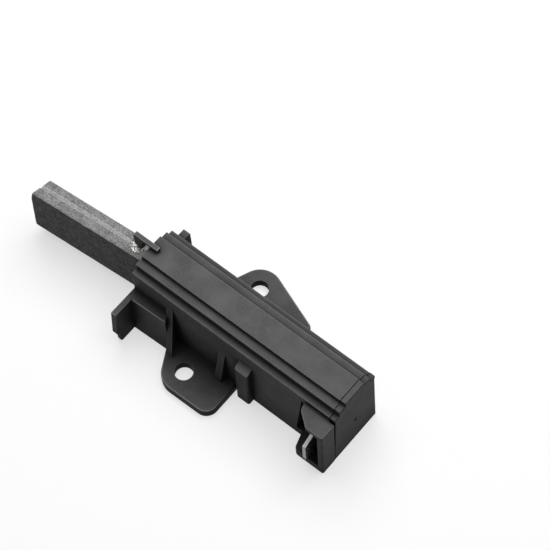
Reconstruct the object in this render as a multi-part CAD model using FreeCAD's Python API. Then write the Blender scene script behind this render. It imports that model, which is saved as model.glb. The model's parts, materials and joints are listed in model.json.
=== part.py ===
import FreeCAD, Part
import math
import os

# Spring-loaded motor carbon brush in a moulded holder.
# Millimetres. X runs from the carbon's contact end to the closed rear end, Y to the far side, Z up.
# The origin is the centre of the holder's flat base; every piece is first built with x = 0 at the
# holder's front end, and moved by half of the holder's length when it is written.

# Holder, overall
holder_length = 55.0
end_cap_thickness = 1.4
base_half_width = 6.9
rim_half_width = 6.4
rim_clearance = 0.5
floor_thickness = 2.3
wall_root = 0.6
guide_wall = 1.25
core_width = 0.9
core_roof = 2.5
core_pitch = 9.6
core_rib = 1.3
far_core_count = 5
near_core_count = 4
core_start = 1.4

# Stepped cover
ledge_half_width = 6.55
ledge_thickness = 0.95
middle_half_width = 5.0
middle_rise = 1.5
plateau_half_width = 3.05
plateau_rise = 0.95
cover_skin = 1.25
cover_edge_radius = 0.22
cover_hollow_half_width = 1.85
cover_rear_wall = 1.2
cover_rear_gap = 0.15
cap_edge_radius = 0.2
cap_plug_skin = 1.0
cap_bar_height = 1.1
cap_dimple_radius = 0.6
cap_dimple_depth = 0.35
cap_dimple_z = 8.8
fit_gap = 0.08

# Carbon and its passage
carbon_thickness = 4.8
carbon_height = 15.2
carbon_length = 39.4
carbon_inside = 7.5
carbon_travel = 27.0
carbon_lean = math.radians(4.3)
carbon_edge = 0.35
end_lead_top = 1.25
end_lead_brow = 0.6
end_brow_drop = 2.8
end_chin_rise = 2.0
end_corner_radius = 0.8
guide_clearance = 0.12
floor_clearance = 0.1
bevel_angle = math.radians(16.0)
groove_depth = 0.95
groove_near_wall = -0.35
groove_floor = -0.1
groove_far_edge = 0.58
spigot_radius = 1.45
spigot_length = 1.6
spigot_root = 0.5

# Ears with their screw holes
ear_thickness = 2.4
ear_edge_radius = 0.45
ear_hole_radius = 2.1
ear_hole_x = 17.5
near_hole_y = -11.9
far_hole_y = 13.5
near_ear_tip_radius = 4.95
far_ear_tip_radius = 5.0
near_ear_rear_x = 28.3
near_ear_front_x = 10.6
near_ear_front_y = -9.6
near_ear_corner = 2.8
near_ear_flatness = 0.97
far_ear_rear_x = 32.0
far_ear_rear_y = 13.5
far_ear_front_x = 9.5
far_ear_corner = 0.8
far_ear_root = 0.4

# Ribs, pillar, shelf, arm and post on the holder's sides
rib_thickness = 1.65
rib_root = 0.8
front_rib_x = 11.75
front_rib_wall_x = 9.25
front_rib_foot = 11.1
front_rib_drop = 3.1
rear_rib_x = 23.66
rear_rib_foot = 9.05
rear_rib_drop = 6.0
far_rib_foot = 9.8
far_rib_drop = 5.0
pillar_x = 29.2
pillar_width = 3.5
pillar_foot = 8.45
pillar_head = 8.3
pillar_drop = 3.8
pillar_slope_drop = 1.2
pillar_radius = 0.5
shelf_height = 12.3
shelf_length = 11.0
shelf_foot = 9.75
shelf_head = 9.2
shelf_taper = 0.35
shelf_skin = 1.2
shelf_rib_gap = 0.9
shelf_root = 0.3
lip_radius = 0.35
arm_thickness = 1.3
arm_reach = 14.2
arm_tip_rake = 0.65
arm_step_z = 4.3
arm_step_height = 0.4
arm_foot_inset = 0.15
arm_foot_front = 0.35
arm_foot_radius = 0.7
post_x = 1.2
post_width = 1.7
post_reach = 8.9
post_draft = 0.3
post_drop = 0.4

# Terminal socket at the rear of the near side
socket_drop = 0.1
socket_skin = 1.3
socket_floor = 2.3
socket_reach = 10.95
socket_wall = 1.5
socket_floor_root = 8.9
socket_floor_front = 7.65
socket_roof_root = 8.2
socket_roof_front = 7.4
socket_roof_front_y = -8.45
socket_roof_corner = 4.15
socket_recess = 4.65
socket_recess_low = 10.5
socket_recess_high = 9.0
socket_corner = 1.1
socket_edge_radius = 0.45

# Terminal, spring seat, spring, tamped plug
tab_width = 7.8
tab_thickness = 0.8
tab_from_rear = 4.8
tab_z = 6.65
tab_reach = 11.65
tab_bevel_length = 2.8
tab_bevel_depth = 1.6
tab_chamfer = 0.4
tab_detent_radius = 0.75
tab_detent_from_tip = 4.6
tab_slot_gap = 0.1
inner_top_gap = 0.9
seat_thickness = 0.5
seat_gap = 0.05
seat_dish_height = 0.45
seat_dish_wall = 0.3
seat_dish_gap = 0.12
wire_diameter = 0.5
wire_side_count = 8
coil_radius = 1.95
coil_turn_count = 12
coil_end_gap = 0.05
seat_dish_root = 0.1
plug_radius = 1.7
plug_depth = 3.2
plug_crown = 0.35
plug_crown_share = 0.6
plug_from_mouth = 4.1

# Stop hook on the cover's front
hook_width = 1.0
hook_y = -0.06
hook_bar_height = 1.0
hook_lift = 0.15
hook_front = 4.4
hook_rear = 2.3
hook_leg_length = 2.3
hook_tooth_from_front = 1.35
hook_tooth_gap = 0.25
hook_tooth_rise = 0.9
hook_radius = 0.45
hook_neck_front = 0.6
hook_neck_rear = 1.7
hook_neck_width = 0.7
hook_neck_gap = 0.1
hook_foot_front = 0.3
hook_foot_rear = 3.5
hook_foot_half_width = 1.6
hook_foot_height = 0.6
hook_skin_gap = 0.1

# Derived places
body_length = holder_length - end_cap_thickness
carbon_base = floor_thickness + floor_clearance
carbon_top = carbon_base + carbon_height
rim_height = carbon_top + rim_clearance
socket_top = rim_height - socket_drop
arm_height = shelf_height
swing = math.tan(carbon_lean) * (carbon_inside + carbon_travel) ** 2 / (4.0 * carbon_travel)
passage_half = carbon_thickness / 2.0 + swing / 2.0 + guide_clearance
pivot_y = swing / 2.0
ledge_top = rim_height + ledge_thickness
middle_top = ledge_top + middle_rise
plateau_top = middle_top + plateau_rise
core_inner = passage_half + guide_wall
spring_z = carbon_base + carbon_height / 2.0
tab_x = holder_length - tab_from_rear
seat_front = tab_x - seat_gap - seat_thickness
overrun = 1.0
V = FreeCAD.Vector


def block(x0, x1, y0, y1, z0, z1):
    return Part.makeBox(x1 - x0, y1 - y0, z1 - z0, V(x0, y0, z0))


def section(points, x0, x1):
    """Closed outline in Y and Z, carried along X from x0 to x1."""
    outline = Part.makePolygon([V(x0, y, z) for y, z in points + points[:1]])
    return Part.Face(outline).extrude(V(x1 - x0, 0, 0))


def plan(points, z0, z1):
    """Closed outline in X and Y, carried up from z0 to z1."""
    outline = Part.makePolygon([V(x, y, z0) for x, y in points + points[:1]])
    return Part.Face(outline).extrude(V(0, 0, z1 - z0))


def side(points, y0, y1):
    """Closed outline in X and Z, carried along Y from y0 to y1."""
    outline = Part.makePolygon([V(x, y0, z) for x, z in points + points[:1]])
    return Part.Face(outline).extrude(V(0, y1 - y0, 0))


def pick_edges(shape, test):
    return [edge for edge in shape.Edges if test(edge)]


def is_upright(edge):
    box = edge.BoundBox
    return box.ZLength > 2.0 * max(box.XLength, box.YLength)


def wall_y(z):
    """Half width of the drafted outer wall at a height."""
    return base_half_width + (rim_half_width - base_half_width) * z / rim_height


def tangent_point(corner_x, corner_y, centre_x, centre_y, radius, turn):
    """Point where a line from a corner touches a round; turn is 1 or -1 for its two sides."""
    dx = corner_x - centre_x
    dy = corner_y - centre_y
    angle = math.atan2(dy, dx) + turn * math.acos(radius / math.hypot(dx, dy))
    return centre_x + radius * math.cos(angle), centre_y + radius * math.sin(angle), angle


def ear(front, rear, hole_y, tip_radius, rear_corner_radius, inner_y):
    """Flat ear: a round tip about its screw hole, joined by tangent lines to its two corners."""
    out = math.copysign(1.0, hole_y)
    a = tangent_point(front[0], front[1], ear_hole_x, hole_y, tip_radius, -out)
    b = tangent_point(rear[0], rear[1], ear_hole_x, hole_y, tip_radius, out)
    start = a[2]
    sweep = (b[2] - a[2]) % (2.0 * math.pi)
    if out > 0:
        sweep -= 2.0 * math.pi
    middle = start + sweep / 2.0
    top = V(ear_hole_x + tip_radius * math.cos(middle), hole_y + tip_radius * math.sin(middle), 0)
    pa = V(a[0], a[1], 0)
    pb = V(b[0], b[1], 0)
    corners = [V(front[0], front[1], 0), pa]
    ends = [pb, V(rear[0], rear[1], 0), V(rear[0], inner_y, 0), V(front[0], inner_y, 0)]
    edges = [Part.makeLine(corners[0], corners[1]), Part.Arc(pa, top, pb).toShape()]
    edges += [Part.makeLine(p, q) for p, q in zip(ends, ends[1:])]
    edges.append(Part.makeLine(ends[-1], corners[0]))
    plate = Part.Face(Part.Wire(edges)).extrude(V(0, 0, ear_thickness))
    upright = pick_edges(plate, lambda e: is_upright(e)
                         and abs(e.BoundBox.XMin - rear[0]) < 0.01 and abs(e.BoundBox.YMin - rear[1]) < 0.01)
    return plate.makeFillet(rear_corner_radius, upright)


def near_ear():
    inner = -wall_y(ear_thickness) + wall_root
    rear = (near_ear_rear_x, near_hole_y - near_ear_tip_radius * near_ear_flatness)
    front = (near_ear_front_x, near_ear_front_y)
    return ear(front, rear, near_hole_y, near_ear_tip_radius, near_ear_corner, inner)


def far_ear():
    inner = wall_y(ear_thickness) - wall_root
    return ear((far_ear_front_x, wall_y(0) + far_ear_root), (far_ear_rear_x, far_ear_rear_y),
               far_hole_y, far_ear_tip_radius, far_ear_corner, inner)


def rounded_ear(plate):
    """The ear with its upper rim eased, before the ribs stand on it."""
    inner = min((abs(v.Y) for v in plate.Vertexes))
    reach = near_ear_corner / 2.0
    rim = pick_edges(plate, lambda e: e.BoundBox.ZMin > ear_thickness - 0.01
                     and max(abs(e.BoundBox.YMin), abs(e.BoundBox.YMax)) > inner + reach)
    return plate.makeFillet(ear_edge_radius, rim)


def gusset(foot_x, wall_x, foot, drop, out):
    """Upright rib that braces the wall from a plate below it; its plan runs from wall_x to foot_x."""
    top = rim_height - drop
    inner = rim_half_width - wall_root
    base_z = ear_thickness - rib_root
    lean = (foot_x - wall_x) / (foot - rim_half_width)
    outline = [(inner, base_z), (foot, base_z), (foot, ear_thickness), (wall_y(top), top), (inner, top)]
    corners = [V(wall_x + lean * (y - rim_half_width), out * y, z) for y, z in outline]
    return Part.Face(Part.makePolygon(corners + corners[:1])).extrude(V(rib_thickness, 0, 0))


def pillar():
    """Upright pad with a sloping top and eased front corners."""
    inner = rim_half_width - wall_root
    top = rim_height - pillar_drop
    points = [(-inner, 0), (-pillar_foot, 0), (-pillar_head, top - pillar_slope_drop), (-wall_y(top), top),
              (-inner, top)]
    solid = section(points, pillar_x, pillar_x + pillar_width)
    front = pick_edges(solid, lambda e: e.BoundBox.YMax < (-rim_half_width - pillar_head) / 2.0
                       and not (e.BoundBox.ZMax < 0.01))
    return solid.makeFillet(pillar_radius, front)


def shelf():
    """Block beside the front end; its outer face closes in and it ends against the slanting rib."""
    inner = rim_half_width - wall_root
    outline = [(-inner, 0), (-shelf_foot, 0), (-shelf_head, shelf_height), (-inner, shelf_height)]
    front = Part.makePolygon([V(0, y, z) for y, z in outline + outline[:1]])
    solid = Part.Face(front).extrude(V(shelf_length, shelf_taper, 0))
    lip = pick_edges(solid, lambda e: e.BoundBox.XLength > shelf_length / 2.0
                     and e.BoundBox.ZMin > shelf_height - 0.01
                     and e.BoundBox.YMax < (-inner - shelf_head) / 2.0)
    solid = solid.makeFillet(lip_radius, lip)
    lean = (front_rib_x - front_rib_wall_x) / (front_rib_foot - rim_half_width)
    reach = shelf_foot + overrun
    past = [V(front_rib_wall_x + lean * (y - rim_half_width), -y, -overrun) for y in (inner, reach)]
    past += [V(front_rib_x + shelf_length, -y, -overrun) for y in (reach, inner)]
    wedge = Part.Face(Part.makePolygon(past + past[:1]))
    return solid.cut(wedge.extrude(V(0, 0, shelf_height + 2.0 * overrun)))


def arm():
    """Hooked arm that stands out at the front, with its foot set back from its tip."""
    inner = -rim_half_width + wall_root
    foot_z = arm_step_z - arm_step_height
    low_reach = arm_reach + arm_tip_rake
    foot_reach = arm_reach - arm_foot_inset
    points = [(inner, 0), (inner, arm_height), (-arm_reach, arm_height), (-low_reach, arm_step_z),
              (-foot_reach, foot_z), (-foot_reach, 0)]
    blade = section(points, 0, arm_thickness)
    across = arm_thickness / 2.0
    tips = pick_edges(blade, lambda e: e.BoundBox.XLength > across and e.BoundBox.YMax < -arm_reach + 0.1)
    blade = blade.makeFillet(lip_radius, tips)
    toe = pick_edges(blade, lambda e: e.BoundBox.XLength > across and e.BoundBox.ZMax < 0.01
                     and e.BoundBox.YMax < -foot_reach + 0.1)
    blade = blade.makeFillet(arm_foot_radius, toe)
    return blade.cut(block(-overrun, arm_foot_front, -low_reach - overrun, -shelf_foot, -overrun, foot_z))


def post():
    inner = rim_half_width - wall_root
    top = rim_height - post_drop
    points = [(inner, 0), (post_reach + post_draft, 0), (post_reach, top), (inner, top)]
    solid = section(points, post_x, post_x + post_width)
    head = pick_edges(solid, lambda e: e.BoundBox.ZMin > top - 0.01
                      and e.BoundBox.YMin > (inner + post_reach) / 2.0)
    return solid.makeFillet(lip_radius, head)


def socket():
    """Roof, floor and rear wall around the terminal, open to the near side and to the front."""
    inner = -rim_half_width + wall_root
    gap_y = -base_half_width - fit_gap
    rear = holder_length
    wall_x = rear - socket_wall
    cap_side = [(body_length, inner), (body_length, gap_y), (rear, gap_y), (rear, -socket_reach)]
    floor_root = rear - socket_floor_root
    floor_front = rear - socket_floor_front
    roof = plan([(rear - socket_roof_root, inner)] + cap_side + [(rear - socket_roof_corner, -socket_reach),
                 (rear - socket_roof_front, socket_roof_front_y)], socket_top - socket_skin, socket_top)
    floor = plan([(floor_root, inner)] + cap_side + [(floor_front, -socket_reach),
                  (floor_root, -base_half_width)], 0, socket_floor)
    front = pick_edges(floor, lambda e: is_upright(e) and abs(e.BoundBox.XMin - floor_front) < 0.01)
    floor = floor.makeFillet(socket_corner, front)
    wall = block(wall_x, rear, -socket_reach, gap_y, 0, socket_top)
    seal = block(wall_x, body_length, gap_y - wall_root, inner, 0, socket_top)
    shell = roof.fuse([floor, wall, seal]).removeSplitter()
    corner = pick_edges(shell, lambda e: e.BoundBox.ZLength > socket_top / 2.0
                        and e.BoundBox.YMax < (gap_y - socket_reach) / 2.0)
    return shell.makeFillet(socket_edge_radius, corner)


def core_pockets(inner, outward, count):
    """Row of narrow pockets moulded up from below between the guide wall and the outer wall."""
    pockets = []
    for i in range(count):
        x = core_start + i * core_pitch
        low = min(outward * inner, outward * (inner + core_width))
        pockets.append(block(x, x + core_pitch - core_rib, low, low + core_width, -overrun,
                             rim_height - core_roof))
    return pockets


def housing():
    top = rim_height
    trunk = section([(-base_half_width, 0), (base_half_width, 0), (rim_half_width, top),
                     (-rim_half_width, top)], 0, body_length)
    added = [rounded_ear(near_ear()), rounded_ear(far_ear()), shelf(), arm(), pillar(), post(), socket()]
    added.append(gusset(front_rib_x, front_rib_wall_x, front_rib_foot, front_rib_drop, -1.0))
    added.append(gusset(rear_rib_x, rear_rib_x, rear_rib_foot, rear_rib_drop, -1.0))
    for x in (front_rib_x, rear_rib_x):
        added.append(gusset(x, x, far_rib_foot, far_rib_drop, 1.0))
    body = trunk.fuse(added)
    passage = block(-overrun, holder_length + overrun, -passage_half, passage_half, floor_thickness, top + overrun)
    recess_rear = holder_length - socket_wall
    recess_top = socket_top - socket_skin
    recess = side([(holder_length - socket_recess_low, socket_floor), (recess_rear, socket_floor),
                   (recess_rear, recess_top), (holder_length - socket_recess_high, recess_top)],
                  -base_half_width - overrun, -socket_recess)
    slot = block(tab_x - tab_slot_gap, tab_x + tab_thickness + tab_slot_gap, -socket_recess - overrun, 0,
                 tab_z - tab_width / 2.0 - tab_slot_gap, tab_z + tab_width / 2.0 + tab_slot_gap)
    cuts = [passage, recess, slot]
    cuts += core_pockets(core_inner, 1.0, far_core_count)
    cuts += core_pockets(core_inner, -1.0, near_core_count)
    cuts.append(block(arm_thickness, front_rib_wall_x - shelf_rib_gap, -shelf_head + shelf_taper + shelf_skin,
                      -base_half_width + shelf_root, -overrun, shelf_height - shelf_skin))
    for y in (near_hole_y, far_hole_y):
        cuts.append(Part.makeCylinder(ear_hole_radius, ear_thickness + 2.0 * overrun,
                                      V(ear_hole_x, y, -overrun)))
    return body.cut(cuts).removeSplitter()


def step_outline():
    """Outer outline of the stepped roof, from one lower corner round to the other."""
    half = [(ledge_half_width, rim_height), (ledge_half_width, ledge_top), (middle_half_width, ledge_top),
            (middle_half_width, middle_top), (plateau_half_width, middle_top), (plateau_half_width, plateau_top)]
    return half + [(-y, z) for y, z in reversed(half)]


def cover():
    rear = body_length - cover_rear_gap
    solid = section(step_outline(), 0, rear)
    steps = ((plateau_half_width, plateau_top), (middle_half_width, middle_top), (ledge_half_width, ledge_top))
    ridges = pick_edges(solid, lambda e: e.BoundBox.XLength > body_length / 2.0 and any(
        abs(abs(e.BoundBox.YMin) - y) < 0.01 and abs(e.BoundBox.ZMin - z) < 0.01 for y, z in steps))
    solid = solid.makeFillet(cover_edge_radius, ridges)
    under = plateau_top - cover_skin
    hollow = block(-overrun, rear - cover_rear_wall, -cover_hollow_half_width, cover_hollow_half_width,
                   rim_height - overrun, under)
    half = hook_neck_width / 2.0 + hook_neck_gap
    notch = block(-overrun, hook_neck_rear + hook_neck_gap, hook_y - half, hook_y + half, under - overrun,
                  plateau_top + overrun)
    return solid.cut([hollow, notch]).removeSplitter()


def end_cap():
    """Rear plate with the cover's stepped outline, and a hollow plug that backs the terminal."""
    plate = section([(-base_half_width, 0), (base_half_width, 0)] + [(rim_half_width, rim_height)]
                    + step_outline() + [(-rim_half_width, rim_height)], body_length, holder_length)
    rear = pick_edges(plate, lambda e: e.BoundBox.XMin > holder_length - 0.01)
    plate = plate.makeFillet(cap_edge_radius, rear)
    x0 = tab_x + tab_thickness + seat_gap
    half = passage_half - fit_gap
    low = floor_thickness + fit_gap
    high = rim_height - inner_top_gap
    skin = cap_plug_skin
    overlap = end_cap_thickness / 2.0
    plug = block(x0, body_length + overlap, -half, half, low, high)
    hollow = block(x0 - overrun, body_length, -half + skin, half - skin, low + skin, high - skin)
    bar_low = tab_z - tab_width / 2.0
    bar = block(x0, body_length + overlap, -half, half, bar_low, bar_low + cap_bar_height)
    dimple = Part.makeCone(0.0, cap_dimple_radius, cap_dimple_depth,
                           V(holder_length - cap_dimple_depth, 0, cap_dimple_z), V(1, 0, 0))
    return plate.fuse(plug.cut(hollow)).fuse(bar).cut(dimple).removeSplitter()


def leaned(shape):
    """Turn a piece that lies along X about the upright line through the carbon's rear face."""
    shape.rotate(V(carbon_inside, pivot_y, 0), V(0, 0, 1), math.degrees(carbon_lean))
    return shape


def carbon_outline():
    half = carbon_thickness / 2.0
    return [(-half, carbon_base), (half, carbon_base), (half, carbon_top), (groove_far_edge, carbon_top),
            (groove_floor, carbon_top - groove_depth), (groove_near_wall, carbon_top - groove_depth),
            (groove_near_wall, carbon_top), (-half, carbon_top)]


def end_profile(front, rear):
    """Side outline of the carbon's contact end, carried across it at the bevel's angle."""
    start_y = pivot_y - carbon_thickness / 2.0
    points = [(rear + overrun, carbon_base), (rear + overrun, carbon_top), (front + end_lead_top, carbon_top),
              (front + end_lead_brow, carbon_top - end_brow_drop), (front, carbon_base + end_chin_rise),
              (front, carbon_base)]
    outline = Part.makePolygon([V(x, start_y, z) for x, z in points + points[:1]])
    across = V(carbon_thickness * math.tan(bevel_angle), carbon_thickness, 0)
    prism = Part.Face(outline).extrude(across)
    chin = pick_edges(prism, lambda e: e.BoundBox.YLength > carbon_thickness / 2.0
                      and e.BoundBox.ZMax < carbon_base + 0.01 and e.BoundBox.XMin < front + 0.01)
    return prism.makeFillet(end_corner_radius, chin)


def carbon():
    rear = carbon_inside
    front = rear - carbon_length
    half = carbon_thickness / 2.0
    solid = section([(y + pivot_y, z) for y, z in carbon_outline()], front, rear)
    long_edges = pick_edges(solid, lambda e: e.BoundBox.XLength > carbon_length / 2.0
                            and abs(abs(e.BoundBox.YMin - pivot_y) - half) < 0.01)
    solid = solid.makeFillet(carbon_edge, long_edges)
    solid = solid.common(end_profile(front, rear))
    spigot = Part.makeCylinder(spigot_radius, spigot_length + spigot_root,
                               V(rear - spigot_root, pivot_y, spring_z), V(1, 0, 0))
    hole = Part.makeCylinder(plug_radius, plug_depth + overrun,
                             V(-plug_from_mouth, pivot_y, carbon_top - plug_depth))
    return leaned(solid.fuse(spigot).cut(hole).removeSplitter())


def tamped_plug():
    """Tamped metal powder in the carbon's upper face, with a low crown."""
    base = V(-plug_from_mouth, pivot_y, carbon_top - plug_depth)
    plug = Part.makeCylinder(plug_radius, plug_depth - plug_crown, base)
    crown = Part.makeCone(plug_radius, plug_radius * plug_crown_share, plug_crown,
                          base + V(0, 0, plug_depth - plug_crown))
    return leaned(plug.fuse(crown).removeSplitter())


def wire_section():
    """Round wire as a regular outline of wire_side_count corners, centred on the coil's radius."""
    corners = []
    radius = wire_diameter / 2.0
    for i in range(wire_side_count):
        angle = 2.0 * math.pi * i / wire_side_count
        corners.append(V(coil_radius + radius * math.cos(angle), 0, radius * math.sin(angle)))
    return Part.makePolygon(corners + corners[:1])


def spring():
    """Compression spring between the carbon's rear face and the spring seat."""
    x0 = carbon_inside + coil_end_gap + wire_diameter / 2.0
    x1 = seat_front - coil_end_gap - wire_diameter / 2.0
    length = x1 - x0
    helix = Part.makeLongHelix(length / coil_turn_count, length, coil_radius, 0)
    coil = Part.Wire(helix).makePipeShell([wire_section()], True, True)
    coil.rotate(V(0, 0, 0), V(0, 1, 0), 90)
    coil.translate(V(x0, pivot_y, spring_z))
    return coil


def spring_seat():
    """Contact plate that carries the spring, with a raised rim round the last coil."""
    half = passage_half - fit_gap
    plate = block(seat_front, seat_front + seat_thickness, -half, half, floor_thickness + fit_gap,
                  rim_height - inner_top_gap)
    inner = coil_radius + wire_diameter / 2.0 + seat_dish_gap
    front = V(seat_front - seat_dish_height, pivot_y, spring_z)
    dish = Part.makeCylinder(inner + seat_dish_wall, seat_dish_height + seat_dish_root, front, V(1, 0, 0))
    well = Part.makeCylinder(inner, seat_dish_height, front, V(1, 0, 0))
    limit = block(front.x - overrun, seat_front + seat_dish_root, -half, half, 0, rim_height)
    return plate.fuse(dish.common(limit)).cut(well).removeSplitter()


def terminal():
    """Push-on tab that crosses the passage behind the spring seat, bevelled to its tip."""
    low = tab_z - tab_width / 2.0
    high = tab_z + tab_width / 2.0
    inner = passage_half - fit_gap
    strip = section([(-tab_reach, low + tab_chamfer), (-tab_reach + tab_chamfer, low), (inner, low), (inner, high),
                     (-tab_reach + tab_bevel_length, high), (-tab_reach, high - tab_bevel_depth)],
                    tab_x, tab_x + tab_thickness)
    detent = Part.makeCylinder(tab_detent_radius, tab_thickness + 2.0 * overrun,
                               V(tab_x - overrun, -tab_reach + tab_detent_from_tip, tab_z), V(1, 0, 0))
    return strip.cut(detent)


def stop_hook():
    """Retaining hook: a bar over the plateau, a nose that reaches down to the carbon, and a foot."""
    bar_low = plateau_top + hook_lift
    bar_high = bar_low + hook_bar_height
    tooth_z = carbon_top + hook_tooth_gap
    half = hook_width / 2.0
    nose = -hook_front
    tooth_top = tooth_z + hook_tooth_rise
    leg_rear = nose + hook_leg_length
    profile = [(nose, bar_high), (nose, tooth_top), (nose + hook_tooth_from_front, tooth_z), (leg_rear, tooth_top),
               (leg_rear, bar_low), (hook_rear, bar_low), (hook_rear, bar_high)]
    solid = side(profile, hook_y - half, hook_y + half)
    ends = pick_edges(solid, lambda e: e.BoundBox.YLength > half and e.BoundBox.ZMin > bar_high - 0.01)
    solid = solid.makeFillet(hook_radius, ends)
    under = plateau_top - cover_skin - hook_skin_gap
    neck_half = hook_neck_width / 2.0
    neck = block(hook_neck_front, hook_neck_rear, hook_y - neck_half, hook_y + neck_half, under - hook_foot_height,
                 bar_high - hook_radius)
    foot = block(hook_foot_front, hook_foot_rear, -hook_foot_half_width, hook_foot_half_width,
                 under - hook_foot_height, under)
    return solid.fuse([neck, foot]).removeSplitter()


PIECES = {
    "holder_housing": housing,
    "stepped_cover": cover,
    "end_cap": end_cap,
    "stop_hook": stop_hook,
    "carbon": carbon,
    "tamped_plug": tamped_plug,
    "brush_spring": spring,
    "spring_seat": spring_seat,
    "terminal_tab": terminal,
}

os.makedirs("parts", exist_ok=True)
for name, make in PIECES.items():
    shape = make()
    shape.translate(V(-holder_length / 2.0, 0, 0))
    shape.exportStep("parts/" + name + ".step")
    print(name, shape.ShapeType, len(shape.Solids), shape.isValid(), round(shape.Volume, 2),
          [round(v, 2) for v in (shape.BoundBox.XMin, shape.BoundBox.XMax, shape.BoundBox.YMin,
                                 shape.BoundBox.YMax, shape.BoundBox.ZMin, shape.BoundBox.ZMax)])
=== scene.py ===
import json
import math

import bpy
from mathutils import Matrix, Vector


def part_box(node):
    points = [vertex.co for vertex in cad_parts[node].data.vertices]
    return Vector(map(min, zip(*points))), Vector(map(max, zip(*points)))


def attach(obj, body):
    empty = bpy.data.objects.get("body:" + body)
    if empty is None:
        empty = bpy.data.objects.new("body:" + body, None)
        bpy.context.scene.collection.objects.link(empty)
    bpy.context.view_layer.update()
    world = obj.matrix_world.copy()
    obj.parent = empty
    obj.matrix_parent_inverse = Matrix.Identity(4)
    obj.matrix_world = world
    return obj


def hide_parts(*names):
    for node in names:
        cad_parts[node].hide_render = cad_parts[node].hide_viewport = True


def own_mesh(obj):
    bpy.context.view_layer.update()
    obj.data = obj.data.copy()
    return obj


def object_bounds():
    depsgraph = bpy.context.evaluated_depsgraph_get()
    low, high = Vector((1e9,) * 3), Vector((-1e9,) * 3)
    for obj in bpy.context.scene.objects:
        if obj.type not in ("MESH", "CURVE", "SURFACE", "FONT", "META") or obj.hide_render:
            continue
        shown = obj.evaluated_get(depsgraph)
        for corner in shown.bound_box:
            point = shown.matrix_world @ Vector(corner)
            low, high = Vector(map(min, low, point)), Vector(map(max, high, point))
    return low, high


bl_info = {
    "name": "Carbon brush dressing",
    "version": (1, 0, 0),
    "blender": (4, 5, 0),
    "location": "3D View > Sidebar > Carbon brush",
    "description": "Finishes for a spring-loaded motor carbon brush in its moulded holder",
    "category": "Material",
}

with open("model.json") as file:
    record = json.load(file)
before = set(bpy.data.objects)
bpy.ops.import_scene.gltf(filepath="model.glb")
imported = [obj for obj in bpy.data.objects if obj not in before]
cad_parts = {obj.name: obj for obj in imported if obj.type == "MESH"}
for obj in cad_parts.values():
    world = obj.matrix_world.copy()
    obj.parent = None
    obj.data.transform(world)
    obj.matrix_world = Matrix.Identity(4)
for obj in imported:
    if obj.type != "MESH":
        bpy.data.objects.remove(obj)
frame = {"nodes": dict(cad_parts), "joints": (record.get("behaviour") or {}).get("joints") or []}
CAD_LOW, CAD_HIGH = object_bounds()
NODES = frame["nodes"]

MM = 0.001
HOUSING_NODES = ("holder_housing",)
COVER_NODES = ("stepped_cover",)
CAP_NODES = ("end_cap",)
HOOK_NODES = ("stop_hook",)
CARBON_NODES = ("carbon",)
PLUG_NODES = ("tamped_plug",)
SPRING_NODE = "brush_spring"
SLIDE_JOINT = "brush_slide"
SLIDE_TRAVEL = next(j for j in frame["joints"] if j["name"] == SLIDE_JOINT)["range_m"][1]
SEAT_NODES = ("spring_seat",)
TAB_NODES = ("terminal_tab",)

# Dimple that the moulding's gate leaves in the end cap, painted dark there as painted shade
GATE_HEIGHT = 8.8 * MM
GATE_RADIUS = 0.75 * MM

# Rings along one turn of the coil, and points round its wire
COIL_STEPS = 40
WIRE_SIDES = 12

# Gloss of the mouldings and of the graphite, the same all over
MOULDED_IOR = 1.52
GRAPHITE_SHEEN = 0.05

# Grain of the metals, and the radius that the light sees on their edges
TAB_GRAIN = 0.10 * MM
TAB_EDGE = 0.08 * MM
PLATE_GRAIN = 0.12 * MM
PLATE_EDGE = 0.06 * MM
WIRE_GRAIN = 0.12 * MM
POWDER_GRAIN = 0.38 * MM

# Lamps: place, width and height, in metres
OVERHEAD_LAMP = ((-0.05, 0.14, 0.43), 0.50, 0.42)
NEAR_STRIP_LAMP = ((-0.17, -0.44, 0.16), 0.40, 0.06)
REAR_STRIP_LAMP = ((0.44, 0.17, 0.16), 0.40, 0.06)
REAR_STRIP_SHARE = 0.8
FLOOR_DROP = 0.02 * MM

# Camera, as the photograph was taken
CAMERA_AZIMUTH = 43.433
CAMERA_ELEVATION = 62.145
CAMERA_ROLL = -4.424
CAMERA_PLACE = (0.14499, -0.14498, 0.42771)
CAMERA_LENS = 144.0
CAMERA_SENSOR = 36.0


class MouldingFinish(bpy.types.PropertyGroup):
    """Black glass-filled mouldings: housing, cover, end cap and stop hook."""

    colour: bpy.props.FloatVectorProperty(
        name="Colour", description="Colour of the black moulding", subtype="COLOR",
        size=3, min=0.0, max=1.0, default=(0.088, 0.088, 0.089))
    roughness: bpy.props.FloatProperty(
        name="Roughness", description="Mean roughness of the moulded skin", subtype="FACTOR",
        min=0.0, max=1.0, default=0.5)
    grain: bpy.props.FloatProperty(
        name="Grain", description="Width of one grain of the spark-eroded texture",
        unit="LENGTH", min=0.00002, max=0.002, default=0.00022)
    edge: bpy.props.FloatProperty(
        name="Edge", description="Radius that the light sees on a moulded edge",
        unit="LENGTH", min=0.0, max=0.001, default=0.00013)
    # Painted shade: width of the dark band painted where two faces meet in a corner.
    crease: bpy.props.FloatProperty(
        name="Crease", description="Width of the dark band where two faces meet in a corner",
        unit="LENGTH", min=0.0, max=0.01, default=0.002)
    # Painted edge highlight: how many times paler the colour is painted on edges and rims, standing in for
    # the light they catch.
    painted_edge_light: bpy.props.FloatProperty(
        name="Painted edge light", description="How many times paler the skin is on edges and rims",
        min=1.0, max=5.0, default=2.7)
    # Painted shade: reach of the darkening painted between walls that stand close together.
    hollow: bpy.props.FloatProperty(
        name="Hollow", description="Reach of the soft darkening between walls that stand close together",
        unit="LENGTH", min=0.0, max=0.05, default=0.013)
    sheen: bpy.props.FloatProperty(
        name="Sheen", description="Strength of the skin's reflection", subtype="FACTOR",
        min=0.0, max=1.0, default=0.02)


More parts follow.
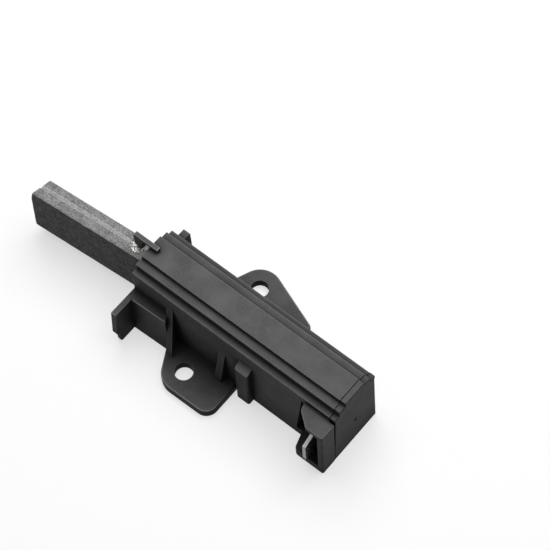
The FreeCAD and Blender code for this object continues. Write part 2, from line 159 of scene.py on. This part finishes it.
class CarbonFinish(bpy.types.PropertyGroup):
    """Pressed graphite block."""

    colour: bpy.props.FloatVectorProperty(
        name="Colour", description="Mean colour of the pressed graphite", subtype="COLOR",
        size=3, min=0.0, max=1.0, default=(0.195, 0.196, 0.198))
    roughness: bpy.props.FloatProperty(
        name="Roughness", description="Mean roughness of the pressed faces", subtype="FACTOR",
        min=0.0, max=1.0, default=0.68)
    grain: bpy.props.FloatProperty(
        name="Grain", description="Width of one graphite grain",
        unit="LENGTH", min=0.00002, max=0.002, default=0.00035)
    # Painted highlight: the near-white colour painted on the groove's slanted wall, standing in for the
    # light it catches.
    slope_highlight_colour: bpy.props.FloatVectorProperty(
        name="Slope highlight colour", description="Colour of the groove's freshly ground slope", subtype="COLOR",
        size=3, min=0.0, max=1.0, default=(0.88, 0.88, 0.88))


class MetalFinish(bpy.types.PropertyGroup):
    """Tinned tab, brass contact plate, spring wire and tamped powder."""

    tin: bpy.props.FloatVectorProperty(
        name="Tin", description="Colour of the tab's tin plating", subtype="COLOR",
        size=3, min=0.0, max=1.0, default=(0.82, 0.82, 0.81))
    brass: bpy.props.FloatVectorProperty(
        name="Brass", description="Colour of the contact plate", subtype="COLOR",
        size=3, min=0.0, max=1.0, default=(0.72, 0.55, 0.27))
    wire: bpy.props.FloatVectorProperty(
        name="Wire", description="Colour of the spring wire", subtype="COLOR",
        size=3, min=0.0, max=1.0, default=(0.52, 0.52, 0.53))
    powder: bpy.props.FloatVectorProperty(
        name="Powder", description="Colour of the tamped metal powder", subtype="COLOR",
        size=3, min=0.0, max=1.0, default=(0.62, 0.61, 0.59))


class CoilShape(bpy.types.PropertyGroup):
    """Wire and turns of the compression spring."""

    wire: bpy.props.FloatProperty(
        name="Wire", description="Diameter of the spring wire", unit="LENGTH",
        min=0.0001, max=0.002, default=0.0005)
    turns: bpy.props.IntProperty(
        name="Turns", description="Number of turns of the coil", min=1, max=60, default=12)


class StageSettings(bpy.types.PropertyGroup):
    """Floor, lamps and surroundings."""

    floor_size: bpy.props.FloatProperty(
        name="Floor size", description="Side of the square floor", unit="LENGTH",
        min=0.1, max=20.0, default=4.0)
    floor_colour: bpy.props.FloatVectorProperty(
        name="Floor colour", description="Colour of the pale floor", subtype="COLOR",
        size=3, min=0.0, max=1.0, default=(0.96, 0.96, 0.96))
    floor_bounce: bpy.props.FloatVectorProperty(
        name="Floor bounce", description="Colour of the light that the floor sends back to the part",
        subtype="COLOR", size=3, min=0.0, max=1.0, default=(0.25, 0.25, 0.25))
    floor_white: bpy.props.FloatProperty(
        name="Floor white", description="Share of plain white that the camera sees on the floor",
        subtype="FACTOR", min=0.0, max=1.0, default=0.60)
    key_power: bpy.props.FloatProperty(
        name="Key lamp", description="Power of the broad lamp overhead", unit="POWER",
        min=0.0, max=100.0, default=2.8)
    strip_power: bpy.props.FloatProperty(
        name="Strip lamps", description="Power of the low strip lamps that pick out the edges", unit="POWER",
        min=0.0, max=100.0, default=0.25)
    sky: bpy.props.FloatProperty(
        name="Surroundings", description="Strength of the even light from all round",
        min=0.0, max=10.0, default=0.05)


def socket(node, name, value):
    node.inputs[name].default_value = value
    return node


def new_material(name):
    """Material with an empty tree, its output and one principled shader joined to it."""
    material = bpy.data.materials.new(name)
    material.use_nodes = True
    tree = material.node_tree
    tree.nodes.clear()
    output = tree.nodes.new("ShaderNodeOutputMaterial")
    shader = tree.nodes.new("ShaderNodeBsdfPrincipled")
    tree.links.new(shader.outputs["BSDF"], output.inputs["Surface"])
    return material, tree, shader


def place_of_surface(tree):
    """The point on the piece, in metres, which rides with the piece."""
    return tree.nodes.new("ShaderNodeTexCoord").outputs["Object"]


def noise(tree, place, grain, detail=4.0, roughness=0.55, stretch=None):
    """Noise whose grains are about as wide as asked, stretched along an axis if asked."""
    node = tree.nodes.new("ShaderNodeTexNoise")
    socket(node, "Scale", 1.0 / grain)
    socket(node, "Detail", detail)
    socket(node, "Roughness", roughness)
    if stretch is not None:
        mapping = tree.nodes.new("ShaderNodeMapping")
        mapping.inputs["Scale"].default_value = stretch
        tree.links.new(place, mapping.inputs["Vector"])
        place = mapping.outputs["Vector"]
    tree.links.new(place, node.inputs["Vector"])
    return node.outputs["Fac"]


def remap(tree, value, low, high, to_low, to_high):
    """Maps a value from one range to another, held inside the second."""
    node = tree.nodes.new("ShaderNodeMapRange")
    node.clamp = True
    for name, number in (("From Min", low), ("From Max", high), ("To Min", to_low), ("To Max", to_high)):
        socket(node, name, number)
    tree.links.new(value, node.inputs["Value"])
    return node.outputs["Result"]


def maths(tree, operation, first, second):
    """One sum on two values; either may be a plain number."""
    node = tree.nodes.new("ShaderNodeMath")
    node.operation = operation
    for slot, value in zip(node.inputs, (first, second)):
        if isinstance(value, (int, float)):
            slot.default_value = value
        else:
            tree.links.new(value, slot)
    return node.outputs["Value"]


def weighted_sum(tree, first, first_weight, second, second_weight):
    """Two values, each times its own weight, added."""
    return maths(tree, "ADD", maths(tree, "MULTIPLY", first, first_weight),
                 maths(tree, "MULTIPLY", second, second_weight))


def facing(tree):
    """The X, Y and Z parts of the direction that the face looks in."""
    normal = tree.nodes.new("ShaderNodeNewGeometry").outputs["True Normal"]
    parts = tree.nodes.new("ShaderNodeSeparateXYZ")
    tree.links.new(normal, parts.inputs["Vector"])
    return parts.outputs


def two_tone(tree, share, first, second):
    """Colour that goes from the first to the second as the share goes from 0 to 1."""
    node = tree.nodes.new("ShaderNodeMix")
    node.data_type = "RGBA"
    node.clamp_factor = True
    colours = [s for s in node.inputs if s.type == "RGBA"]
    for slot, value in zip(colours, (first, second)):
        if isinstance(value, bpy.types.NodeSocket):
            tree.links.new(value, slot)
        else:
            slot.default_value = (*value, 1.0)
    tree.links.new(share, node.inputs[0])
    return [s for s in node.outputs if s.type == "RGBA"][0]


def relief(tree, shader, height, depth, edge):
    """Bump from a height, over edges that catch the light as if they were rounded."""
    bump = tree.nodes.new("ShaderNodeBump")
    socket(bump, "Distance", depth)
    socket(bump, "Strength", 1.0)
    tree.links.new(height, bump.inputs["Height"])
    if edge > 0.0:
        bevel = tree.nodes.new("ShaderNodeBevel")
        bevel.samples = 6
        socket(bevel, "Radius", edge)
        tree.links.new(bevel.outputs["Normal"], bump.inputs["Normal"])
    tree.links.new(bump.outputs["Normal"], shader.inputs["Normal"])


def painted_crease_shade(tree, reach, darkest, low=0.35, high=0.95):
    """Painted shade: 1 on open faces, down to the darkest share in a crease narrower than the reach."""
    node = tree.nodes.new("ShaderNodeAmbientOcclusion")
    node.samples = 8
    socket(node, "Distance", reach)
    return remap(tree, node.outputs["AO"], low, high, darkest, 1.0)


def faces_along(tree, axis, sign):
    """1 on the faces that look along an axis, 0 elsewhere."""
    return remap(tree, maths(tree, "MULTIPLY", facing(tree)[axis], sign), 0.86, 0.92, 0.0, 1.0)


def painted_edge_highlight(tree, reach):
    """1 on an edge, a rounded rim or a sloped face, 0 on flat faces farther from an edge than the reach:
    where the painted edge highlight goes.
    """
    face = tree.nodes.new("ShaderNodeNewGeometry").outputs["True Normal"]
    bevel = tree.nodes.new("ShaderNodeBevel")
    bevel.samples = 6
    socket(bevel, "Radius", reach)
    turn = tree.nodes.new("ShaderNodeVectorMath")
    turn.operation = "DOT_PRODUCT"
    tree.links.new(face, turn.inputs[0])
    tree.links.new(bevel.outputs["Normal"], turn.inputs[1])
    sharp = remap(tree, turn.outputs["Value"], 0.85, 0.99, 1.0, 0.0)
    upward = facing(tree)["Z"]
    round_rim = maths(tree, "MULTIPLY", remap(tree, upward, 0.40, 0.60, 0.0, 1.0),
                      remap(tree, upward, 0.88, 0.96, 1.0, 0.0))
    return maths(tree, "MAXIMUM", sharp, round_rim)


def tinted(colour, factor):
    return tuple(min(1.0, c * factor) for c in colour)


def round_mark(tree, place, centre, radius):
    """1 inside a small round mark, 0 outside, with a soft rim."""
    gap = tree.nodes.new("ShaderNodeVectorMath")
    gap.operation = "DISTANCE"
    tree.links.new(place, gap.inputs[0])
    gap.inputs[1].default_value = centre
    return remap(tree, gap.outputs["Value"], 0.5 * radius, radius, 1.0, 0.0)


def moulded_black(name, finish, gloss=0.0, lightness=1.0, painted_edge_light=1.0, mark=None):
    """Black glass-filled plastic: eroded grain, pale pits where the fibre shows, faint flow marks, painted
    highlights on edges and painted shade in creases and between close walls.
    """
    material, tree, shader = new_material(name)
    place = place_of_surface(tree)
    grain = noise(tree, place, finish.grain, detail=6.0, roughness=0.6)
    cloud = noise(tree, place, 24.0 * finish.grain, detail=3.0)
    flow = noise(tree, place, 9.0 * finish.grain, detail=3.0, stretch=(0.25, 1.0, 1.0))
    pits = remap(tree, noise(tree, place, 2.4 * finish.grain, detail=2.0), 0.60, 0.74, 0.0, 1.0)
    base = tinted(finish.colour, lightness)
    shade = remap(tree, cloud, 0.3, 0.7, 0.0, 1.0)
    colour = two_tone(tree, shade, tinted(base, 0.84), tinted(base, 1.20))
    colour = two_tone(tree, pits, colour, tinted(base, 1.25))
    # Painted highlight: edges, rims and sloped faces are painted paler by the edge scale; a scale below 0
    # paints them darker as painted shade.
    rim = painted_edge_highlight(tree, 2.4 * finish.edge)
    colour = two_tone(tree, rim, colour, tinted(base, 1.0 + painted_edge_light * (finish.painted_edge_light - 1.0)))
    # Painted shade: a dark round spot is painted in the gate's dimple.
    if mark is not None:
        colour = two_tone(tree, round_mark(tree, place, *mark), colour, tinted(base, 0.2))
    # Painted shade: corners, creases and gaps between close walls are painted down towards a quarter of the
    # colour, from ambient occlusion.
    open_share = maths(tree, "MULTIPLY", painted_crease_shade(tree, finish.crease, 0.0, 0.45, 1.0),
                       painted_crease_shade(tree, finish.hollow, 0.03, 0.48, 0.96))
    colour = two_tone(tree, open_share, tinted(base, 0.25), colour)
    tree.links.new(colour, shader.inputs["Base Color"])
    socket(shader, "Specular IOR Level", finish.sheen)
    mean = finish.roughness - gloss
    skin = weighted_sum(tree, grain, 0.6, flow, 0.4)
    rough = remap(tree, skin, 0.32, 0.68, mean - 0.07, mean + 0.09)
    tree.links.new(rough, shader.inputs["Roughness"])
    socket(shader, "IOR", MOULDED_IOR)
    height = weighted_sum(tree, grain, 1.0, pits, -0.5)
    relief(tree, shader, height, 0.05 * finish.grain, finish.edge)
    return material


def pressed_graphite(name, finish):
    """Graphite: mottled grain, dark pores, bright flecks, a painted highlight on the groove's slanted wall,
    and painted shade on the faces that look along −Y.
    """
    material, tree, shader = new_material(name)
    place = place_of_surface(tree)
    fine = noise(tree, place, finish.grain, detail=3.0, roughness=0.7)
    mottle = noise(tree, place, 4.0 * finish.grain, detail=5.0, roughness=0.65)
    pores = remap(tree, noise(tree, place, 1.4 * finish.grain, detail=3.0), 0.62, 0.72, 0.0, 1.0)
    blend = weighted_sum(tree, fine, 0.6, mottle, 0.4)
    share = remap(tree, blend, 0.38, 0.62, 0.0, 1.0)
    body = two_tone(tree, share, tinted(finish.colour, 0.60), tinted(finish.colour, 1.70))
    body = two_tone(tree, pores, body, tinted(finish.colour, 0.45))
    slope = painted_slope_highlight(tree)
    # Painted highlight: the groove's slanted wall is painted near white.
    ground = two_tone(tree, share, tinted(finish.slope_highlight_colour, 0.65), tinted(finish.slope_highlight_colour, 1.25))
    # Painted shade: the faces that look along −Y are painted darker than the top.
    pressed = two_tone(tree, share, tinted(finish.colour, 0.28), tinted(finish.colour, 0.92))
    body = two_tone(tree, faces_along(tree, "Y", -1.0), body, pressed)
    tree.links.new(two_tone(tree, slope, body, ground), shader.inputs["Base Color"])
    rough = remap(tree, blend, 0.3, 0.7, finish.roughness + 0.10, finish.roughness - 0.10)
    tree.links.new(rough, shader.inputs["Roughness"])
    socket(shader, "Specular IOR Level", GRAPHITE_SHEEN)
    height = weighted_sum(tree, fine, 0.8, pores, -0.6)
    relief(tree, shader, height, 0.10 * finish.grain, 0.3 * finish.grain)
    return material


def painted_slope_highlight(tree):
    """1 on the groove's slanted wall, 0 elsewhere, told by which way the face looks: where the painted
    highlight goes.
    """
    face = facing(tree)
    up = remap(tree, face["Z"], 0.48, 0.53, 0.0, 1.0)
    not_flat = remap(tree, face["Z"], 0.62, 0.67, 1.0, 0.0)
    near = remap(tree, face["Y"], -0.45, -0.40, 1.0, 0.0)
    return maths(tree, "MULTIPLY", maths(tree, "MULTIPLY", up, not_flat), near)


def drawn_metal(name, colour, roughness, grain, along, edge, tarnish=0.12):
    """Rolled or drawn metal with fine lines along one axis and a soft change of tone."""
    material, tree, shader = new_material(name)
    place = place_of_surface(tree)
    stretch = tuple(0.06 if i == along else 1.0 for i in range(3))
    lines = noise(tree, place, grain, detail=4.0, stretch=stretch)
    cloud = noise(tree, place, 14.0 * grain, detail=3.0)
    share = remap(tree, cloud, 0.35, 0.65, 0.0, 1.0)
    tone = two_tone(tree, share, tinted(colour, 1.0 - tarnish), colour)
    rough = remap(tree, lines, 0.3, 0.7, roughness - 0.08, roughness + 0.12)
    tree.links.new(tone, shader.inputs["Base Color"])
    tree.links.new(rough, shader.inputs["Roughness"])
    socket(shader, "Metallic", 1.0)
    relief(tree, shader, lines, 0.03 * grain, edge)
    return material


def punched_tab(name, metals):
    """Tinned strip whose faces that look along −Y are painted darker as painted shade, and whose upward
    faces are made mostly non-metal so the pale tin shows near white as a painted highlight.
    """
    material = drawn_metal(name, metals.tin, 0.26, TAB_GRAIN, 1, TAB_EDGE)
    tree = material.node_tree
    shader = [n for n in tree.nodes if n.type == "BSDF_PRINCIPLED"][0]
    # Painted shade: faces that look along −Y get a quarter of the tin's colour.
    front_edge_shade = faces_along(tree, "Y", -1.0)
    plated = shader.inputs["Base Color"].links[0].from_socket
    tone = two_tone(tree, front_edge_shade, plated, tinted(metals.tin, 0.26))
    # Painted highlight: upward faces are turned mostly non-metal, so the pale tin shows as a near-white
    # diffuse face.
    upward_highlight = remap(tree, facing(tree)["Z"], 0.45, 0.60, 1.0, 0.15)
    tree.links.new(tone, shader.inputs["Base Color"])
    tree.links.new(upward_highlight, shader.inputs["Metallic"])
    return material


def tamped_powder(name, colour, grain):
    """Coarse metal powder pressed hard: bright facets between dark gaps."""
    material, tree, shader = new_material(name)
    place = place_of_surface(tree)
    cells = tree.nodes.new("ShaderNodeTexVoronoi")
    socket(cells, "Scale", 1.0 / grain)
    tree.links.new(place, cells.inputs["Vector"])
    tone = tree.nodes.new("ShaderNodeSeparateColor")
    tree.links.new(cells.outputs["Color"], tone.inputs["Color"])
    facets = remap(tree, tone.outputs["Red"], 0.1, 0.9, 0.0, 1.0)
    metal = two_tone(tree, facets, tinted(colour, 0.22), tinted(colour, 1.35))
    rough = remap(tree, tone.outputs["Green"], 0.0, 1.0, 0.28, 0.6)
    tree.links.new(metal, shader.inputs["Base Color"])
    tree.links.new(rough, shader.inputs["Roughness"])
    socket(shader, "Metallic", 0.8)
    gaps = remap(tree, cells.outputs["Distance"], 0.0, 0.7, 1.0, 0.0)
    relief(tree, shader, gaps, 0.25 * grain, 0.0)
    return material


def finish_nodes(names, material):
    """Gives each named solid the material in its only slot."""
    for name in names:
        mesh = NODES[name].data
        mesh.materials.clear()
        mesh.materials.append(material)


class CARBONBRUSH_OT_mouldings(bpy.types.Operator):
    """Finish the housing, the stepped cover and the end cap"""

    bl_idname = "carbonbrush.mouldings"
    bl_label = "Mouldings"

    def execute(self, context):
        finish = context.scene.brush_moulding
        finish_nodes(HOUSING_NODES, moulded_black("housing_black", finish))
        # The cover is painted a tenth paler than the housing: painted light on the holder's top, lit more
        # than the housing's lower faces.
        finish_nodes(COVER_NODES, moulded_black("cover_black", finish, lightness=1.10, painted_edge_light=0.45))
        gate = (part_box(CAP_NODES[0])[1][0], 0.0, GATE_HEIGHT)
        # The cap's edges are painted darker than its faces: painted shade lines along its edges.
        cap = moulded_black("cap_black", finish, gloss=-0.02, painted_edge_light=-0.4, mark=(gate, GATE_RADIUS))
        finish_nodes(CAP_NODES, cap)
        return {"FINISHED"}


class CARBONBRUSH_OT_hook(bpy.types.Operator):
    """Finish the stop hook, a smoother and slightly paler moulding"""

    bl_idname = "carbonbrush.hook"
    bl_label = "Stop hook"

    def execute(self, context):
        finish = context.scene.brush_moulding
        finish_nodes(HOOK_NODES, moulded_black("hook_black", finish, gloss=0.10, lightness=1.15))
        return {"FINISHED"}


class CARBONBRUSH_OT_carbon(bpy.types.Operator):
    """Finish the graphite block"""

    bl_idname = "carbonbrush.carbon"
    bl_label = "Carbon"

    def execute(self, context):
        finish_nodes(CARBON_NODES, pressed_graphite("pressed_graphite", context.scene.brush_carbon))
        return {"FINISHED"}


class CARBONBRUSH_OT_plug(bpy.types.Operator):
    """Finish the tamped plug in the carbon's top"""

    bl_idname = "carbonbrush.plug"
    bl_label = "Tamped plug"

    def execute(self, context):
        metals = context.scene.brush_metals
        finish_nodes(PLUG_NODES, tamped_powder("tamped_powder", metals.powder, POWDER_GRAIN))
        return {"FINISHED"}


class CARBONBRUSH_OT_metals(bpy.types.Operator):
    """Finish the terminal tab and the contact plate"""

    bl_idname = "carbonbrush.metals"
    bl_label = "Metal pieces"

    def execute(self, context):
        metals = context.scene.brush_metals
        finish_nodes(TAB_NODES, punched_tab("tinned_tab", metals))
        plate = drawn_metal("contact_brass", metals.brass, 0.32, PLATE_GRAIN, 2, PLATE_EDGE)
        finish_nodes(SEAT_NODES, plate)
        return {"FINISHED"}


def coil_mesh(name, low, high, wire, turns):
    """Round wire wound in an even coil that fills a box along X, closed at both ends."""
    half = wire / 2.0
    middle_y, middle_z = (low.y + high.y) / 2.0, (low.z + high.z) / 2.0
    radius = (high.y - low.y) / 2.0 - half
    start, length = low.x + half, high.x - low.x - wire
    rings = turns * COIL_STEPS + 1
    rise = length / (2.0 * math.pi * turns)
    points = []
    for i in range(rings):
        angle = 2.0 * math.pi * i / COIL_STEPS
        outward = Vector((0.0, math.sin(angle), -math.cos(angle)))
        along = Vector((rise, radius * math.cos(angle), radius * math.sin(angle))).normalized()
        across = along.cross(outward)
        centre = Vector((start + rise * angle, middle_y, middle_z)) + radius * outward
        for k in range(WIRE_SIDES):
            turn = 2.0 * math.pi * k / WIRE_SIDES
            points.append(centre + half * (math.cos(turn) * outward + math.sin(turn) * across))
    faces = []
    for i in range(rings - 1):
        for k in range(WIRE_SIDES):
            a, b = i * WIRE_SIDES + k, i * WIRE_SIDES + (k + 1) % WIRE_SIDES
            faces.append((a, b, b + WIRE_SIDES, a + WIRE_SIDES))
    last = (rings - 1) * WIRE_SIDES
    faces.append(tuple(reversed(range(WIRE_SIDES))))
    faces.append(tuple(range(last, last + WIRE_SIDES)))
    mesh = bpy.data.meshes.new(name)
    mesh.from_pydata(points, [], faces)
    mesh.update()
    for face in mesh.polygons:
        face.use_smooth = len(face.vertices) == 4
    return mesh


class CARBONBRUSH_OT_spring(bpy.types.Operator):
    """Wind the spring to fill the box of the CAD spring, and fix it to the holder"""

    bl_idname = "carbonbrush.spring"
    bl_label = "Spring"

    def execute(self, context):
        shape = context.scene.brush_coil
        low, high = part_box(SPRING_NODE)
        free_length = high.x - low.x
        if free_length <= SLIDE_TRAVEL:
            raise RuntimeError("The spring is shorter than the carbon's travel")
        mesh = coil_mesh("spring_coil", low, high, shape.wire, shape.turns)
        wire = drawn_metal("spring_wire", context.scene.brush_metals.wire, 0.30, WIRE_GRAIN, 0, 0.0)
        mesh.materials.append(wire)
        coil = bpy.data.objects.new("spring_coil", mesh)
        context.scene.collection.objects.link(coil)
        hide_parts(SPRING_NODE)
        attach(coil, "holder")
        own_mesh(coil)
        return {"FINISHED"}


def camera_axes(azimuth, elevation, roll):
    """Right, up and back directions of a camera that looks at the part from an angle."""
    a, e, t = (math.radians(v) for v in (azimuth, elevation, roll))
    back = Vector((math.sin(a) * math.cos(e), -math.cos(a) * math.cos(e), math.sin(e)))
    right = Vector((math.cos(a), math.sin(a), 0.0))
    up = back.cross(right)
    return (math.cos(t) * right + math.sin(t) * up, math.cos(t) * up - math.sin(t) * right, back)


def place_camera():
    data = bpy.data.cameras.new("photo_camera")
    data.sensor_width = CAMERA_SENSOR
    data.sensor_fit = "AUTO"
    data.lens = CAMERA_LENS
    data.clip_start = 0.01
    data.clip_end = 20.0
    camera = bpy.data.objects.new("photo_camera", data)
    right, up, back = camera_axes(CAMERA_AZIMUTH, CAMERA_ELEVATION, CAMERA_ROLL)
    turn = Matrix((right, up, back)).transposed().to_4x4()
    camera.matrix_world = Matrix.Translation(Vector(CAMERA_PLACE)) @ turn
    bpy.context.scene.collection.objects.link(camera)
    bpy.context.scene.camera = camera


def softbox(name, place, width, height, power):
    """Area lamp that faces the holder's base."""
    data = bpy.data.lights.new(name, "AREA")
    data.shape = "RECTANGLE"
    data.size = width
    data.size_y = height
    data.energy = power
    lamp = bpy.data.objects.new(name, data)
    lamp.location = place
    lamp.rotation_mode = "QUATERNION"
    lamp.rotation_quaternion = (-Vector(place)).to_track_quat("-Z", "Y")
    bpy.context.scene.collection.objects.link(lamp)


def background_rays(tree):
    """1 on rays that show the background: straight to the camera, mirrored, or through something clear."""
    rays = tree.nodes.new("ShaderNodeLightPath")
    seen = maths(tree, "MAXIMUM", rays.outputs["Is Camera Ray"], rays.outputs["Is Glossy Ray"])
    return maths(tree, "MAXIMUM", seen, rays.outputs["Is Transmission Ray"])


def floor_material(settings):
    """Pale floor that keeps soft shadows, near white to the camera and in reflections."""
    material = bpy.data.materials.new("pale_floor")
    material.use_nodes = True
    tree = material.node_tree
    tree.nodes.clear()
    output = tree.nodes.new("ShaderNodeOutputMaterial")
    diffuse = tree.nodes.new("ShaderNodeBsdfDiffuse")
    fibre = noise(tree, place_of_surface(tree), 4.0 * MM, detail=3.0)
    paper = two_tone(tree, fibre, tinted(settings.floor_colour, 0.985), settings.floor_colour)
    seen = background_rays(tree)
    tree.links.new(two_tone(tree, seen, settings.floor_bounce, paper), diffuse.inputs["Color"])
    white = tree.nodes.new("ShaderNodeEmission")
    socket(white, "Strength", 1.0)
    share = maths(tree, "MULTIPLY", seen, settings.floor_white)
    mix = tree.nodes.new("ShaderNodeMixShader")
    tree.links.new(share, mix.inputs[0])
    tree.links.new(diffuse.outputs["BSDF"], mix.inputs[1])
    tree.links.new(white.outputs["Emission"], mix.inputs[2])
    tree.links.new(mix.outputs["Shader"], output.inputs["Surface"])
    return material


def surroundings(settings):
    """Even light from all round, white where the camera or a reflection shows it."""
    world = bpy.data.worlds.new("studio")
    world.use_nodes = True
    tree = world.node_tree
    tree.nodes.clear()
    output = tree.nodes.new("ShaderNodeOutputWorld")
    background = tree.nodes.new("ShaderNodeBackground")
    strength = remap(tree, background_rays(tree), 0.0, 1.0, settings.sky, 1.0)
    tree.links.new(strength, background.inputs["Strength"])
    tree.links.new(background.outputs["Background"], output.inputs["Surface"])
    bpy.context.scene.world = world


class CARBONBRUSH_OT_stage(bpy.types.Operator):
    """Set out the floor, the lamps, the surroundings and the camera"""

    bl_idname = "carbonbrush.stage"
    bl_label = "Stage"

    def execute(self, context):
        settings = context.scene.brush_stage
        half = settings.floor_size / 2.0
        ground = CAD_LOW.z - FLOOR_DROP
        mesh = bpy.data.meshes.new("floor")
        corners = [(x * half, y * half, ground) for x, y in ((-1, -1), (1, -1), (1, 1), (-1, 1))]
        mesh.from_pydata(corners, [], [(0, 1, 2, 3)])
        mesh.materials.append(floor_material(settings))
        floor = bpy.data.objects.new("floor", mesh)
        context.scene.collection.objects.link(floor)
        softbox("overhead", *OVERHEAD_LAMP, settings.key_power)
        softbox("near_strip", *NEAR_STRIP_LAMP, settings.strip_power)
        softbox("rear_strip", *REAR_STRIP_LAMP, REAR_STRIP_SHARE * settings.strip_power)
        surroundings(settings)
        place_camera()
        context.scene.view_settings.view_transform = "Standard"
        return {"FINISHED"}


class CARBONBRUSH_PT_panel(bpy.types.Panel):
    """Lists the finishing steps and their settings"""

    bl_idname = "CARBONBRUSH_PT_panel"
    bl_label = "Carbon brush"
    bl_space_type = "VIEW_3D"
    bl_region_type = "UI"
    bl_category = "Carbon brush"

    def draw(self, context):
        layout = self.layout
        for group in (context.scene.brush_moulding, context.scene.brush_carbon,
                      context.scene.brush_metals, context.scene.brush_coil, context.scene.brush_stage):
            box = layout.box()
            for name in group.__annotations__:
                box.prop(group, name)
        for operator in OPERATORS:
            layout.operator(operator.bl_idname)


SETTINGS = (
    ("brush_moulding", MouldingFinish),
    ("brush_carbon", CarbonFinish),
    ("brush_metals", MetalFinish),
    ("brush_coil", CoilShape),
    ("brush_stage", StageSettings),
)
OPERATORS = (
    CARBONBRUSH_OT_mouldings,
    CARBONBRUSH_OT_hook,
    CARBONBRUSH_OT_carbon,
    CARBONBRUSH_OT_plug,
    CARBONBRUSH_OT_metals,
    CARBONBRUSH_OT_spring,
    CARBONBRUSH_OT_stage,
)


def register():
    for name, group in SETTINGS:
        bpy.utils.register_class(group)
        setattr(bpy.types.Scene, name, bpy.props.PointerProperty(type=group))
    for operator in OPERATORS:
        bpy.utils.register_class(operator)
    bpy.utils.register_class(CARBONBRUSH_PT_panel)


def unregister():
    bpy.utils.unregister_class(CARBONBRUSH_PT_panel)
    for operator in reversed(OPERATORS):
        bpy.utils.unregister_class(operator)
    for name, group in reversed(SETTINGS):
        delattr(bpy.types.Scene, name)
        bpy.utils.unregister_class(group)


def main():
    register()
    bpy.ops.carbonbrush.mouldings()
    bpy.ops.carbonbrush.hook()
    bpy.ops.carbonbrush.carbon()
    bpy.ops.carbonbrush.plug()
    bpy.ops.carbonbrush.metals()
    bpy.ops.carbonbrush.spring()
    bpy.ops.carbonbrush.stage()


if __name__ == "__main__":
    main()
